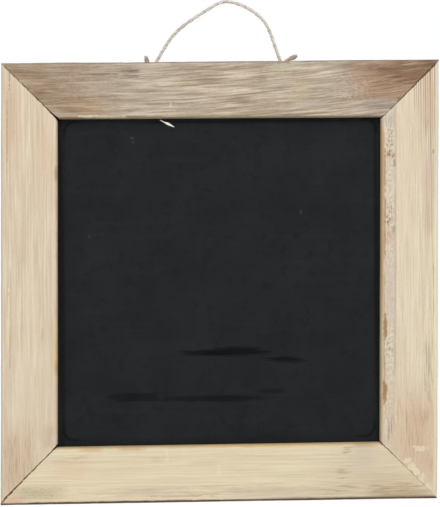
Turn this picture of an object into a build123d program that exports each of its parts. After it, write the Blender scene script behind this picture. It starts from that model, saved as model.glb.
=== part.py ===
from build123d import *
from math import floor, radians, tan
import os

# A hanging writing board: a blackboard panel in a rebated, mitred softwood frame, with a twine loop.
# Millimetres. X runs along the board, Y from its front to its back, Z up. The origin is the middle of
# the bottom edge, halfway through the frame's depth.

# Frame members
FRAME_WIDTH = 280.0
FRAME_HEIGHT = 282.0
FRAME_DEPTH = 18.0
FACE_WIDTH = 37.0
LIP_DEPTH = 7.0
REBATE_WIDTH = 7.0
OUTER_FRONT_ROUND = 1.5
INNER_FRONT_ROUND = 2.0
BACK_ROUND = 0.8

# Writing panel
PANEL_THICKNESS = 3.0
PANEL_CLEARANCE = 0.5

# V-nails across the mitres
V_NAIL_WING = 8.0
V_NAIL_THICKNESS = 0.7
V_NAIL_HEIGHT = 10.0
V_NAIL_SINK = 0.2
V_NAIL_FLARE = 0.8
V_NAIL_FLARE_LENGTH = 2.0
V_NAIL_PITCH = 12.0
V_NAIL_REBATE_MARGIN = 6.0
V_NAIL_EDGE_MARGIN = 3.0

# Framing points behind the panel
POINT_LENGTH = 14.0
POINT_WIDTH = 5.0
POINT_THICKNESS = 0.5
POINT_BITE = 6.0
POINT_TAPER = 4.0
POINT_CORNER = 1.5
POINT_FROM_CORNER = 55.0

# Staples over the twine
STAPLE_WIRE = 1.2
STAPLE_LEG_BITE = 10.0
STAPLE_CORNER = 1.6
STAPLE_DROP = 8.0
STAPLE_TIP = 1.8
STAPLE_SIDE_ROOM = 1.3
STAPLE_HOLE_CLEARANCE = 0.02

# Twine
TWINE_DIAMETER = 2.1
TWINE_CLEARANCE = 0.3
ARC_SHARE = 0.45

# The twine's route, as distances across the board and above the staples' line
LOOP_ROUTE = [
    (-42.4, 0.0), (-42.4, 3.2), (-41.3, 6.2), (-39.0, 9.6), (-36.0, 15.0), (-31.1, 22.9),
    (-24.1, 30.3), (-14.8, 36.8), (-5.6, 42.5), (1.0, 46.4), (5.9, 47.5), (11.1, 46.5),
    (17.8, 44.0), (24.5, 39.9), (30.0, 35.2), (33.5, 28.8), (36.4, 20.9), (38.8, 13.4),
    (41.0, 8.1), (41.5, 4.2), (41.5, 0.0),
]
LEFT_END_ROUTE = [
    (-42.4, 0.0), (-42.4, -3.0), (-41.8, -5.5), (-42.5, -7.8), (-44.0, -8.9), (-45.8, -8.9),
    (-47.3, -7.9), (-48.0, -5.6), (-47.4, -3.0), (-47.4, 0.0), (-47.0, 3.4), (-46.0, 6.6),
    (-45.6, 9.6), (-46.0, 12.0),
]
RIGHT_END_ROUTE = [
    (41.5, 0.0), (41.5, -3.2), (41.0, -5.7), (41.6, -7.9), (43.0, -9.0), (44.8, -9.0),
    (46.2, -8.0), (47.0, -5.8), (46.5, -3.1), (46.4, 0.0), (45.5, 3.2), (44.8, 6.2),
    (45.4, 8.7), (47.5, 10.4), (50.6, 11.6),
]
TWINE_ENDS = {"left": LEFT_END_ROUTE, "right": RIGHT_END_ROUTE}

# Planes and lines that the pieces share
FRONT = -FRAME_DEPTH / 2
BACK = FRAME_DEPTH / 2
SEAT = FRONT + LIP_DEPTH
PANEL_BACK = SEAT + PANEL_THICKNESS
REBATE_WALL = FACE_WIDTH - REBATE_WIDTH
TWINE_RADIUS = TWINE_DIAMETER / 2
TWINE_PLANE = BACK + TWINE_CLEARANCE + TWINE_RADIUS
CROWN_PLANE = TWINE_PLANE + TWINE_RADIUS + TWINE_CLEARANCE + STAPLE_WIRE / 2
STAPLE_LINE = FRAME_HEIGHT - STAPLE_DROP

# Where each member lies, turned from the bottom rail's place, and its outer length
MEMBERS = {
    "bottom_rail": (FRAME_WIDTH, Location((0, 0, 0))),
    "right_stile": (FRAME_HEIGHT, Location((FRAME_WIDTH / 2, 0, FRAME_HEIGHT / 2), (0, -90, 0))),
    "top_rail": (FRAME_WIDTH, Location((0, 0, FRAME_HEIGHT), (0, 180, 0))),
    "left_stile": (FRAME_HEIGHT, Location((-FRAME_WIDTH / 2, 0, FRAME_HEIGHT / 2), (0, 90, 0))),
}

# Each outer corner, turned so that its two edges run along the local X and Z, and the members there
CORNERS = {
    "bottom_left": (Location((-FRAME_WIDTH / 2, 0, 0)), ("bottom_rail", "left_stile")),
    "bottom_right": (Location((FRAME_WIDTH / 2, 0, 0), (0, -90, 0)), ("bottom_rail", "right_stile")),
    "top_right": (
        Location((FRAME_WIDTH / 2, 0, FRAME_HEIGHT), (0, 180, 0)),
        ("top_rail", "right_stile"),
    ),
    "top_left": (Location((-FRAME_WIDTH / 2, 0, FRAME_HEIGHT), (0, 90, 0)), ("top_rail", "left_stile")),
}


def round_corner(section, corner, radius):
    """Rounds the corner of a flat section that lies nearest to a point."""
    nearest = section.vertices().sort_by_distance((*corner, 0))[0]
    return fillet(nearest, radius)


def member_section():
    """A member's section: outer edge at Z 0, rounded front, and the panel's rebate at the inner back."""
    section = make_face(
        Polyline(
            (FRONT, 0),
            (BACK, 0),
            (BACK, REBATE_WALL),
            (SEAT, REBATE_WALL),
            (SEAT, FACE_WIDTH),
            (FRONT, FACE_WIDTH),
            close=True,
        )
    )
    section = round_corner(section, (FRONT, 0), OUTER_FRONT_ROUND)
    section = round_corner(section, (FRONT, FACE_WIDTH), INNER_FRONT_ROUND)
    section = round_corner(section, (BACK, 0), BACK_ROUND)
    return Plane.YZ * section


def frame_member(length):
    """One member along X, cut at 45 degrees at both ends."""
    bar = extrude(member_section(), amount=length / 2, both=True)
    mitred = make_face(
        Polyline(
            (-length / 2, 0),
            (length / 2, 0),
            (length / 2 - FACE_WIDTH, FACE_WIDTH),
            (-length / 2 + FACE_WIDTH, FACE_WIDTH),
            close=True,
        )
    )
    return bar & extrude(Plane.XZ * mitred, amount=FRAME_DEPTH, both=True)


def writing_panel():
    """The panel, seated on the lip with a clearance all round in the rebate."""
    side_room = REBATE_WALL + PANEL_CLEARANCE
    board = Box(FRAME_WIDTH - 2 * side_room, PANEL_THICKNESS, FRAME_HEIGHT - 2 * side_room)
    return Pos(0, (SEAT + PANEL_BACK) / 2, FRAME_HEIGHT / 2) * board


def v_nail_outline():
    """Seen from the back: two wings at a right angle with flared tips, apex at the local origin."""
    straight = V_NAIL_WING - V_NAIL_FLARE_LENGTH
    wall = V_NAIL_THICKNESS
    outer_wing = [(-straight, 0), (-V_NAIL_WING, V_NAIL_FLARE)]
    inner_wing = [(-V_NAIL_WING, V_NAIL_FLARE - wall), (-straight, -wall)]
    one_side = outer_wing + inner_wing
    other_side = [(z, x) for x, z in reversed(one_side)]
    return make_face(Polyline((0, 0), *one_side, (-wall, -wall), *other_side, close=True))


def v_nail_apexes():
    """Distances of the apexes from both outer edges: as many as the wood beside the rebate takes."""
    innermost = REBATE_WALL - V_NAIL_REBATE_MARGIN
    room = innermost - V_NAIL_WING - V_NAIL_EDGE_MARGIN
    count = floor(room / V_NAIL_PITCH) + 1
    return [innermost - i * V_NAIL_PITCH for i in range(count)]


def v_nails(top):
    """The V-nails of one corner in its local place, from their driven edge up to the plane Y = top."""
    driven_edge = BACK - V_NAIL_SINK - V_NAIL_HEIGHT
    outline = v_nail_outline()
    nails = []
    for apex in v_nail_apexes():
        base = Plane(origin=(apex, driven_edge, apex), x_dir=(1, 0, 0), z_dir=(0, -1, 0))
        nails.append(extrude(base * outline, amount=driven_edge - top))
    return nails


def panel_point_outline():
    """One framing point, seen from the back: pointed end in the rebate wall, rounded end over the panel."""
    half = POINT_WIDTH / 2
    tip = REBATE_WALL - POINT_BITE
    end = tip + POINT_LENGTH
    outline = make_face(
        Polyline(
            (0, tip),
            (half, tip + POINT_TAPER),
            (half, end),
            (-half, end),
            (-half, tip + POINT_TAPER),
            close=True,
        )
    )
    outline = round_corner(outline, (half, end), POINT_CORNER)
    return round_corner(outline, (-half, end), POINT_CORNER)


def panel_points(length):
    """The two framing points of a member of this length, in the bottom rail's place."""
    reach = length / 2 - FACE_WIDTH - POINT_FROM_CORNER
    outline = Plane.XZ * panel_point_outline()
    point = Pos(0, PANEL_BACK, 0) * extrude(outline, amount=-POINT_THICKNESS)
    return [Pos(x, 0, 0) * point for x in (-reach, reach)]


def staple_legs(route):
    """The places of a staple's two legs along X, clear of the two strands that cross beneath its crown."""
    strands = [x for x, height in route if height == 0]
    margin = (TWINE_DIAMETER + STAPLE_WIRE) / 2 + STAPLE_SIDE_ROOM
    return (min(strands) - margin, max(strands) + margin)


def staple(route):
    """Round wire bent over the twine, with chisel-cut leg tips in the rail."""
    left, right = staple_legs(route)
    tip = BACK - STAPLE_LEG_BITE
    corners = [(left, tip), (left, CROWN_PLANE), (right, CROWN_PLANE), (right, tip)]
    path = FilletPolyline(*[(x, y, STAPLE_LINE) for x, y in corners], radius=STAPLE_CORNER)
    wire = sweep(Plane(origin=path @ 0, z_dir=path % 0) * Circle(STAPLE_WIRE / 2), path)
    return wire - chisel_cut(left, tip) - chisel_cut(right, tip)


def chisel_cut(x, tip):
    """What the chisel edge takes off one leg: a wedge across the wire, from its tip upwards."""
    low = STAPLE_LINE - STAPLE_WIRE
    high = STAPLE_LINE + STAPLE_WIRE
    rise = STAPLE_TIP * (high - low) / STAPLE_WIRE
    start = tip - STAPLE_TIP / 2
    wedge = make_face(Polyline((start, low), (start + rise, high), (start - rise, high), close=True))
    return Pos(x, 0, 0) * extrude(Plane.YZ * wedge, amount=STAPLE_WIRE, both=True)


def staple_leg_holes(route):
    """The holes that the two legs make in the top rail."""
    radius = STAPLE_WIRE / 2 + STAPLE_HOLE_CLEARANCE
    hole = Rot(90, 0, 0) * Cylinder(radius, STAPLE_LEG_BITE, align=(Align.CENTER, Align.CENTER, Align.MIN))
    return [Pos(x, BACK, STAPLE_LINE) * hole for x in staple_legs(route)]


def arc_radii(points):
    """The largest arc at each corner of a route: a set share of its shorter run."""
    radii = []
    for before, corner, after in zip(points, points[1:], points[2:]):
        run_in = Vector(*corner) - Vector(*before)
        run_out = Vector(*after) - Vector(*corner)
        half_turn = radians(run_in.get_angle(run_out)) / 2
        radii.append(ARC_SHARE * min(run_in.length, run_out.length) / tan(half_turn))
    return radii


def twine(name, route):
    """A tube along one stretch of twine, which lies flat against the back of the rail."""
    points = [(x, TWINE_PLANE, STAPLE_LINE + height) for x, height in route]
    radii = arc_radii(points)
    path = FilletPolyline(*points, radius=radii)
    section = Plane(origin=path @ 0, z_dir=path % 0) * Circle(TWINE_RADIUS)
    tube = sweep(section, path)
    expected = section.area * path.length
    print(name, "length", round(path.length, 1), "volume", round(tube.volume, 2), "of", round(expected, 2))
    print(name, "radii", [round(radius, 1) for radius in radii])
    return tube


def write(name, solids):
    """Writes the solids of one node to its own file."""
    export_step(Compound(label=name, children=solids), f"parts/{name}.step")


os.makedirs("parts", exist_ok=True)

cuts = {name: [] for name in MEMBERS}
for corner, (place, joined) in CORNERS.items():
    write(f"corner_v_nails_{corner}", [place * nail for nail in v_nails(BACK - V_NAIL_SINK)])
    for name in joined:
        cuts[name] += [place * kerf for kerf in v_nails(BACK)]

for name, (length, place) in MEMBERS.items():
    points = [place * point for point in panel_points(length)]
    write(f"panel_points_{name.split('_')[0]}", points)
    cuts[name] += points

for side, route in TWINE_ENDS.items():
    write(f"{side}_staple", [staple(route)])
    write(f"twine_end_{side}", [twine(f"twine_end_{side}", route)])
    cuts["top_rail"] += staple_leg_holes(route)

for name, (length, place) in MEMBERS.items():
    write(name, [place * frame_member(length) - cuts[name]])

write("writing_panel", [writing_panel()])
write("twine_loop", [twine("twine_loop", LOOP_ROUTE)])
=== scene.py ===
from math import ceil, cos, dist, pi, radians, sin, tau

import bpy
import numpy as np
from mathutils import Matrix, Quaternion, Vector, noise
from mathutils.bvhtree import BVHTree


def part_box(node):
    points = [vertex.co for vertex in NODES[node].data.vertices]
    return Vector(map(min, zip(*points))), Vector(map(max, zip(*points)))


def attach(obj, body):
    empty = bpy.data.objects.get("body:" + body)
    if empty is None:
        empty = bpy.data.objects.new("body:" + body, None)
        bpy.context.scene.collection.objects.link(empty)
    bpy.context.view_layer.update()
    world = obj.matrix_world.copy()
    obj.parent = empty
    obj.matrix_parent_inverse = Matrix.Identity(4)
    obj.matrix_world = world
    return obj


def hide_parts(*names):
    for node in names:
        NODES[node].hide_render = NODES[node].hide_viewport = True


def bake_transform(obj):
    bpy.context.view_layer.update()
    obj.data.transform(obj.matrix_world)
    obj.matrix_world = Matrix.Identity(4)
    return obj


# A hanging writing board: a painted hardboard panel in a mitred frame of old raw pine, with a jute loop.
# Pieces are drawn in millimetres and set down in metres, in the frame's own axes.

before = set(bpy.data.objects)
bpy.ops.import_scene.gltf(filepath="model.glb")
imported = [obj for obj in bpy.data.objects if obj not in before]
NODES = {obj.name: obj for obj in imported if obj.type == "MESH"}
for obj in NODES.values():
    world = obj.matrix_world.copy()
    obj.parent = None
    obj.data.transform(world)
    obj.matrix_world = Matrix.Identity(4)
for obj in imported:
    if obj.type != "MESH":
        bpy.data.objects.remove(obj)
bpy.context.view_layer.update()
MM = 0.001


def box_mm(node):
    """The lowest and highest corner of a frame node, in millimetres."""
    low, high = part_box(node)
    return low / MM, high / MM


# Sizes read from the frame
RAIL_LOW, RAIL_HIGH = box_mm("bottom_rail")
STILE_LOW, STILE_HIGH = box_mm("left_stile")
PANEL_LOW, PANEL_HIGH = box_mm("writing_panel")
LOOP_LOW, LOOP_HIGH = box_mm("twine_loop")
STAPLE_LOW, STAPLE_HIGH = box_mm("left_staple")
WIDTH = RAIL_HIGH.x - RAIL_LOW.x
HEIGHT = STILE_HIGH.z - STILE_LOW.z
FACE = RAIL_HIGH.z - RAIL_LOW.z
FRONT = RAIL_LOW.y
BACK = RAIL_HIGH.y
SEAT = PANEL_LOW.y
TWINE_DIAMETER = LOOP_HIGH.y - LOOP_LOW.y
TWINE_PLANE = (LOOP_HIGH.y + LOOP_LOW.y) / 2
STAPLE_LINE = (STAPLE_HIGH.z + STAPLE_LOW.z) / 2

# The frame has racked a little: it leans aside by this share of the height above its middle
RACK = 0.0134

# Faces that meet at more than this angle keep a sharp edge
SHARP_EDGE = radians(40)


def colour(code):
    """An sRGB hex colour as linear red, green, blue and alpha."""
    parts = [int(code[i:i + 2], 16) / 255 for i in (1, 3, 5)]
    linear = [p / 12.92 if p <= 0.04045 else ((p + 0.055) / 1.055) ** 2.4 for p in parts]
    return (*linear, 1.0)


def add(tree, kind, inputs=None, **settings):
    """Adds a node. Each input is set to a value, or linked to sockets or to nodes' first outputs."""
    node = tree.nodes.new(kind)
    for name, value in settings.items():
        setattr(node, name, value)
    for key, given in (inputs or {}).items():
        for value in given if isinstance(given, list) else [given]:
            if isinstance(value, bpy.types.Node):
                value = value.outputs[0]
            if isinstance(value, bpy.types.NodeSocket):
                tree.links.new(value, node.inputs[key])
            else:
                node.inputs[key].default_value = value
    return node


def new_piece(name, data):
    """An object at the origin for a finished mesh, or for other data."""
    piece = bpy.data.objects.new(name, data)
    bpy.context.scene.collection.objects.link(piece)
    return piece


def new_finish(name):
    """A new material and its empty node tree."""
    material = bpy.data.materials.new(name)
    material.use_nodes = True
    material.node_tree.nodes.clear()
    return material, material.node_tree


def surface(tree, inputs):
    """Ends a material's tree: one shader with these inputs is the surface."""
    shader = add(tree, "ShaderNodeBsdfPrincipled", inputs)
    add(tree, "ShaderNodeOutputMaterial", {"Surface": shader})


def place_mm(tree):
    """Each place on a piece, in millimetres."""
    place = add(tree, "ShaderNodeTexCoord").outputs["Object"]
    return add(tree, "ShaderNodeVectorMath", {0: place, "Scale": 1 / MM}, operation="SCALE")


def streaks(tree, line, long, wide, detail):
    """Noise drawn out along a line, in streaks of a length and width in millimetres."""
    drawn = add(tree, "ShaderNodeMapping", {"Vector": line, "Scale": (1 / long, 1 / wide, 1 / wide)})
    pattern = {"Vector": drawn, "Scale": 1.0, "Detail": detail, "Roughness": 0.6}
    return add(tree, "ShaderNodeTexNoise", pattern)


def coated(tree, tone, *coats):
    """Coats of colour over a tone: none where the pattern is at its start, in strength where it is full."""
    for pattern, start, full, code, strength in coats:
        levels = {"Value": pattern, "From Min": start, "From Max": full, "To Max": strength}
        share = add(tree, "ShaderNodeMapRange", levels, interpolation_type="SMOOTHSTEP")
        layers = {0: share, 6: tone, 7: colour(code)}
        tone = add(tree, "ShaderNodeMix", layers, data_type="RGBA").outputs[2]
    return tone


def new_tree(name, inputs):
    """A Geometry Nodes tree with named inputs, with its input sockets and its output node."""
    tree = bpy.data.node_groups.new(name, "GeometryNodeTree")
    tree.interface.new_socket("Geometry", in_out="INPUT", socket_type="NodeSocketGeometry")
    for label, kind in inputs.items():
        tree.interface.new_socket(label, in_out="INPUT", socket_type=kind)
    tree.interface.new_socket("Geometry", in_out="OUTPUT", socket_type="NodeSocketGeometry")
    return tree, add(tree, "NodeGroupInput").outputs, add(tree, "NodeGroupOutput")


def end_tree(tree, end, shape, material):
    """Ends a Geometry Nodes tree: what it made is one real mesh of a material."""
    real = add(tree, "GeometryNodeRealizeInstances", {"Geometry": shape})
    dressed = add(tree, "GeometryNodeSetMaterial", {"Geometry": real, "Material": material})
    tree.links.new(dressed.outputs[0], end.inputs[0])


def grown(name, start, tree, values):
    """Runs a tree on a start mesh, and returns what it makes as a plain smooth mesh."""
    maker = new_piece(name, start)
    modifier = maker.modifiers.new(name, "NODES")
    modifier.node_group = tree
    for item in tree.interface.items_tree:
        if item.in_out == "INPUT" and item.name in values:
            modifier[item.identifier] = values[item.name]
    bpy.context.view_layer.update()
    graph = bpy.context.evaluated_depsgraph_get()
    made = maker.evaluated_get(graph)
    mesh = bpy.data.meshes.new_from_object(made, preserve_all_data_layers=True, depsgraph=graph)
    bpy.data.objects.remove(maker)
    mesh.shade_smooth()
    return mesh


def smooth_line(name, points, steps, thickness=0.0):
    """The mesh of a NURBS line with control points of a place and a radius share: a bare line, or a tube."""
    curve = bpy.data.curves.new(name, "CURVE")
    curve.dimensions = "3D"
    curve.resolution_u = steps
    curve.bevel_depth = thickness / 2 * MM
    curve.bevel_resolution = 3
    curve.use_fill_caps = True
    spline = curve.splines.new("NURBS")
    spline.points.add(len(points) - 1)
    for point, (x, y, z, share) in zip(spline.points, points):
        point.co = (x * MM, y * MM, z * MM, 1)
        point.radius = share
    spline.order_u = 3
    spline.use_endpoint_u = True
    holder = new_piece(name, curve)
    mesh = bpy.data.meshes.new_from_object(holder)
    bpy.data.objects.remove(holder)
    return mesh


# Wood: a member lies along X, with s along the grain from its middle, y through it, u from its outer edge

# The members' section, and how finely it is drawn
PANEL_CLEARANCE = 0.5
LIP_SETBACK = 0.5
LIP_EDGE = FACE - LIP_SETBACK
REBATE_WALL = PANEL_LOW.z - PANEL_CLEARANCE
OUTER_ROUND = 1.5
INNER_ROUND = 2.0
BACK_ROUND = 0.8
EASED = 0.3
FACE_STEP = 0.5
SIDE_STEP = 2.0
ROWS = 240
ROW_CROWDING = 1.4

# Each member's outer length, the middle of its outer edge, and its turn about Y from the bottom rail's
QUARTER = pi / 2
MEMBERS = {
    "bottom_rail": (WIDTH, (0, 0, 0), 0.0),
    "right_stile": (HEIGHT, (WIDTH / 2, 0, HEIGHT / 2), -QUARTER),
    "top_rail": (WIDTH, (0, 0, HEIGHT), pi),
    "left_stile": (HEIGHT, (-WIDTH / 2, 0, HEIGHT / 2), QUARTER),
}

# Wear: the sizes of its waves along, through and across the grain, steady where it doesn't change that way,
# how far it reaches, and its depths
STEADY = np.inf
KNOCKS = (7.0, STEADY, STEADY)
RUBS = (30.0, STEADY, STEADY)
SCALLOPS = (11.0, STEADY, STEADY)
RAISED_FIBRES = (26.0, 3.0, 1.1)
PLANING = (70.0, 9.0, 6.0)
BOW = (85.0, STEADY, STEADY)
OUTER_REACH = 2.0
INNER_REACH = 2.4
BOW_REACH = 12.0
KNOCK_DEPTH = 0.35
OUTER_RUB = 0.2
INNER_RUB = 0.15
SCALLOP_DEPTH = 0.3
PLANING_DEPTH = 0.09
BOW_DEPTH = 0.3
SEED_SHIFT = 31.7
SEEDS_PER_MEMBER = 10

# Mitres open by an uneven hairline, and at two corners the rail was cut long and its stile short
MITRE_GAP = 0.06
MITRE_REACH = 1.2
MITRE_EASE = 1.0
GAP_WAVES = (5.0, 1.0, 40.0)
GAP_UNEVEN = 0.5
LEAST_GAP = 0.05
SLIP_REACH = 20.0
BOTTOM_LEFT_SLIP = 1.5
TOP_RIGHT_SLIP = 0.75
SLIPS = {
    "top_rail": (TOP_RIGHT_SLIP, 0.0),
    "bottom_rail": (BOTTOM_LEFT_SLIP, 0.0),
    "left_stile": (0.0, -BOTTOM_LEFT_SLIP),
    "right_stile": (0.0, -TOP_RIGHT_SLIP),
}

# How far each member's lip is worn back at its two ends, past the setback that all have
LIP_WEAR = {
    "top_rail": (-0.15, 0.75),
    "bottom_rail": (0.45, 0.1),
    "left_stile": (0.7, 0.4),
    "right_stile": (-0.25, -0.35),
}

# Dents and chips of each member: s, y and u, half sizes along and across, and how deep
DENT_EDGE = 1.5
DENTS = {
    "top_rail": [
        (-40.3, FRONT, 0.0, 4.0, 1.6, 0.7), (116.0, FRONT, 20.0, 3.0, 2.0, 0.15),
        (60.0, FRONT, 8.0, 5.0, 2.5, 0.15), (40.0, FRONT, 37.0, 3.0, 1.4, 0.5),
    ],
    "bottom_rail": [(82.5, FRONT, 31.5, 2.0, 1.2, 0.2), (125.5, FRONT, 9.0, 3.0, 1.2, 0.2)],
    "left_stile": [(-70.0, FRONT, 36.5, 4.5, 1.2, 0.3), (53.0, FRONT, 36.5, 3.5, 1.0, 0.3)],
    "right_stile": [
        (-108.5, FRONT, 11.1, 2.0, 4.5, 0.2), (-116.5, FRONT, 19.5, 2.6, 3.2, 0.25),
        (-122.5, FRONT, 15.0, 4.0, 3.5, 0.25), (-130.0, FRONT, 8.5, 4.0, 3.0, 0.25),
        (-71.5, FRONT, 36.0, 4.0, 1.6, 0.5), (38.0, FRONT, 35.5, 3.0, 1.6, 0.4),
        (92.0, FRONT, 35.5, 4.0, 1.4, 0.3),
    ],
}

# The wood's back is pressed in beside the V-nails
HOLLOW_DEPTH = 0.5
HOLLOW_REACH = 2.2


def straight(start, end, step):
    """Points along a straight side of the section, without its last one."""
    count = ceil(dist(start, end) / step)
    shares = np.arange(count) / count
    return [tuple(np.add(start, np.subtract(end, start) * share)) for share in shares]


def arc(centre, radius, start, steps):
    """Points round a quarter turn of the section, from a start angle in degrees, without its last one."""
    angles = [radians(start + 90 * i / steps) for i in range(steps)]
    return [(centre[0] + radius * cos(a), centre[1] + radius * sin(a)) for a in angles]


def member_section():
    """A member's section as y and u, rounded and with the panel's rebate."""
    outer = (FRONT + OUTER_ROUND, OUTER_ROUND)
    inner = (FRONT + INNER_ROUND, LIP_EDGE - INNER_ROUND)
    back = (BACK - BACK_ROUND, BACK_ROUND)
    rebate = [
        (BACK, BACK_ROUND), (BACK, REBATE_WALL - EASED), (BACK - EASED, REBATE_WALL),
        (SEAT, REBATE_WALL), (SEAT, LIP_EDGE - EASED), (SEAT - EASED, LIP_EDGE),
    ]
    outline = arc(outer, OUTER_ROUND, 180, steps=6)
    outline += straight((outer[0], 0), (back[0], 0), SIDE_STEP)
    outline += arc(back, BACK_ROUND, 270, steps=3)
    for start, end in zip(rebate, rebate[1:]):
        outline += straight(start, end, SIDE_STEP)
    outline += straight(rebate[-1], (inner[0], LIP_EDGE), FACE_STEP)
    outline += arc(inner, INNER_ROUND, 90, steps=8)
    outline += straight((FRONT, inner[1]), (FRONT, outer[1]), FACE_STEP)
    return outline


def section_mesh():
    """The section as a closed line of edges, turned as the sweep along X expects it."""
    points = [(-y * MM, -u * MM, 0) for y, u in member_section()]
    edges = [(i, (i + 1) % len(points)) for i in range(len(points))]
    mesh = bpy.data.meshes.new("member_section")
    mesh.from_pydata(points, edges, [])
    return mesh


def member_tree():
    """Sweeps the section along the grain, mitres both ends, and keeps each point's place in millimetres."""
    kinds = {"Length": "NodeSocketFloat", "Rows": "NodeSocketInt", "Wood": "NodeSocketMaterial"}
    tree, given, end = new_tree("mitred_member", kinds)
    section = add(tree, "GeometryNodeMeshToCurve", {"Mesh": given["Geometry"]})
    line = add(tree, "GeometryNodeCurvePrimitiveLine", {"Start": (-1, 0, 0), "End": (1, 0, 0)})
    rows = add(tree, "GeometryNodeResampleCurve", {"Curve": line, "Count": given["Rows"]})
    sweep = {"Curve": rows, "Profile Curve": section, "Fill Caps": True}
    swept = add(tree, "GeometryNodeCurveToMesh", sweep)
    position = add(tree, "GeometryNodeInputPosition")
    place = add(tree, "ShaderNodeSeparateXYZ", {0: position}).outputs
    # Rows crowd towards the mitres, where the eased edges need them
    turn = add(tree, "ShaderNodeMath", {0: place["X"], 1: ROW_CROWDING}, operation="MULTIPLY")
    crowd = add(tree, "ShaderNodeMath", {0: turn}, operation="SINE")
    share = add(tree, "ShaderNodeMath", {0: crowd, 1: sin(ROW_CROWDING)}, operation="DIVIDE")
    half = add(tree, "ShaderNodeMath", {0: given["Length"], 1: 0.5}, operation="MULTIPLY")
    reach = add(tree, "ShaderNodeMath", {0: half, 1: place["Z"]}, operation="SUBTRACT")
    along = add(tree, "ShaderNodeMath", {0: share, 1: reach}, operation="MULTIPLY")
    mitred = add(tree, "ShaderNodeCombineXYZ", {"X": along, "Y": place["Y"], "Z": place["Z"]})
    moved = add(tree, "GeometryNodeSetPosition", {"Geometry": swept, "Position": mitred})
    grain = add(tree, "ShaderNodeVectorMath", {0: position, "Scale": 1 / MM}, operation="SCALE")
    kept = {"Geometry": moved, "Name": "grain", "Value": grain}
    marked = add(tree, "GeometryNodeStoreNamedAttribute", kept, data_type="FLOAT_VECTOR")
    end_tree(tree, end, marked, given["Wood"])
    return tree


def waves(places, sizes, seed):
    """Smooth noise from about -1 to 1 in waves of three sizes, from the part of the pattern a seed picks."""
    shift = seed * SEED_SHIFT
    return np.array([noise.noise((a + shift, b - shift, c + shift)) for a, b, c in places / sizes])


def wear(grain, normals, raised, seed):
    """How far each point of a member moves: worn arrises, raised grain, planing marks and a slight bow."""
    y, u = grain.T[1:]
    outer = np.exp(-((np.hypot(y - FRONT, u) / OUTER_REACH) ** 2))
    inner = np.exp(-((np.hypot(y - FRONT, LIP_EDGE - u) / INNER_REACH) ** 2))
    knocks = np.clip(waves(grain, KNOCKS, seed), 0, 1)
    rubs = 0.5 + waves(grain, RUBS, seed + 1)
    scallops = 0.5 + waves(grain, SCALLOPS, seed + 2)
    depth = outer * (KNOCK_DEPTH * knocks + OUTER_RUB * rubs)
    depth += inner * (SCALLOP_DEPTH * scallops + INNER_RUB * rubs)
    depth += raised * waves(grain, RAISED_FIBRES, seed + 3)
    depth += PLANING_DEPTH * waves(grain, PLANING, seed + 4)
    move = -normals * depth[:, None]
    bow = BOW_DEPTH * np.abs(waves(grain, BOW, seed + 5))
    move[:, 2] += bow * np.exp(-u / BOW_REACH)
    return move


def fitted_ends(grain, length, slips, seed):
    """How far the ends move: a hairline gap at the front, and a long or short cut, flush at the outside."""
    s, y, u = grain.T
    to_end = length / 2 - u - np.abs(s)
    uneven = waves(np.column_stack([u, np.sign(s), y]), GAP_WAVES, seed)
    width = MITRE_GAP * (1 + GAP_UNEVEN * uneven) * np.clip(1 - to_end / MITRE_REACH, 0, 1) ** 2
    open_front = np.clip((BACK - y) / (BACK - FRONT), LEAST_GAP, 1)
    slip = np.minimum(np.where(s < 0, *slips), u) * np.clip(1 - to_end / SLIP_REACH, 0, 1)
    move = np.zeros_like(grain)
    move[:, 0] = np.sign(s) * (slip - width * open_front)
    move[:, 1] = width * np.clip((FRONT + MITRE_EASE - y) / MITRE_EASE, 0, 1)
    return move


def dents(grain, normals, marks):
    """How far dents and chips press in."""
    depth = np.zeros(len(grain))
    for s, y, u, half_s, half_u, deep in marks:
        reach = (grain - (s, y, u)) / (half_s, half_u, half_u)
        depth += deep * np.exp(-(reach**2).sum(axis=1) * DENT_EDGE)
    return -normals * depth[:, None]


def worn_lip(grain, length, ends):
    """How far the lip is worn back from the panel, more or less towards each end."""
    s, y, u = grain.T
    back = ends[0] + (ends[1] - ends[0]) * (s / length + 0.5)
    move = np.zeros_like(grain)
    move[:, 2] = -back * np.clip((u - REBATE_WALL) / (LIP_EDGE - REBATE_WALL), 0, 1) * (y < SEAT + EASED)
    return move


def nail_surface(node):
    """A frame node's faces in millimetres, ready for finding how far a place is from them."""
    points = [node.matrix_world @ vertex.co / MM for vertex in node.data.vertices]
    return BVHTree.FromPolygons(points, [tuple(face.vertices) for face in node.data.polygons])


def nail_hollows(places, grain):
    """How far the wood's back is pressed in beside the V-nails, so that their edges show."""
    depth = np.zeros(len(places))
    nails = [nail_surface(node) for name, node in NODES.items() if name.startswith("corner_v_nails")]
    for i in np.flatnonzero(grain[:, 1] > BACK - EASED / 2):
        gap = min(nail.find_nearest(places[i, :3])[3] for nail in nails)
        depth[i] = HOLLOW_DEPTH * max(1 - gap / HOLLOW_REACH, 0)
    return depth


def grain_places(mesh):
    """Each point's s, y and u, as the member's tree kept them."""
    flat = np.zeros(len(mesh.vertices) * 3)
    mesh.attributes["grain"].data.foreach_get("vector", flat)
    return flat.reshape(-1, 3)


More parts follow.
